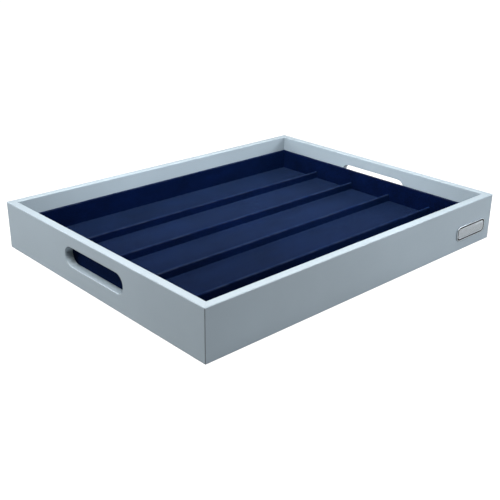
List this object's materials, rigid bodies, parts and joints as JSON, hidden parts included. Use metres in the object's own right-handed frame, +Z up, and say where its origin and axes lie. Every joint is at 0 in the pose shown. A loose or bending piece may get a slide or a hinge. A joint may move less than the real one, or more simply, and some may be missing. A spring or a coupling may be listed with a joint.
{
  "type": "coin display tray",
  "caption": "Shallow rectangular display tray: lacquered mitred walls with a hand hole in each short side, and a lift-out dark blue velvet insert divided into long coin channels.",
  "frame": {"origin": "on the table, under the middle of the tray", "axes": "+X along the front wall to the right, +Y from the front to the back, +Z up"},
  "size_m": [0.4, 0.3161, 0.05],
  "materials": {
    "wall_lacquer": "satin silver-grey lacquer",
    "panel_lacquer": "matt silver-grey lacquer",
    "pin_steel": "drawn wire",
    "plate_metal": "brushed, reeded field",
    "plate_enamel": "gloss enamel",
    "adhesive_pad": "matt",
    "backing_board": "matt grey pressed board",
    "floor_velvet": "dark blue velvet, short pile",
    "wrapped_velvet": "dark blue velvet, wrapped over board"
  },
  "bodies": {
    "tray": {"front_wall": "wall_lacquer", "back_wall": "wall_lacquer", "left_wall": "wall_lacquer", "right_wall": "wall_lacquer", "base_panel": "panel_lacquer", "corner_pins": "pin_steel", "nameplate": "plate_metal", "nameplate_border": "plate_enamel", "nameplate_adhesive": "adhesive_pad"},
    "insert": {"insert_base": "backing_board", "channel_lining_1": "floor_velvet", "channel_lining_2": "floor_velvet", "channel_lining_3": "floor_velvet", "channel_lining_4": "floor_velvet", "channel_lining_5": "floor_velvet", "liner_board_front": "backing_board", "liner_board_back": "backing_board", "liner_board_left": "backing_board", "liner_board_right": "backing_board", "liner_velvet_front": "wrapped_velvet", "liner_velvet_back": "wrapped_velvet", "liner_velvet_left": "wrapped_velvet", "liner_velvet_right": "wrapped_velvet", "divider_board_1": "backing_board", "divider_board_2": "backing_board", "divider_board_3": "backing_board", "divider_board_4": "backing_board", "divider_velvet_1": "wrapped_velvet", "divider_velvet_2": "wrapped_velvet", "divider_velvet_3": "wrapped_velvet", "divider_velvet_4": "wrapped_velvet"}
  },
  "joints": [
    {"name": "insert_lift", "type": "slide", "parent": "tray", "child": "insert", "axis": [0, 0, 1], "range_m": [0, 0.06]}
  ]
}
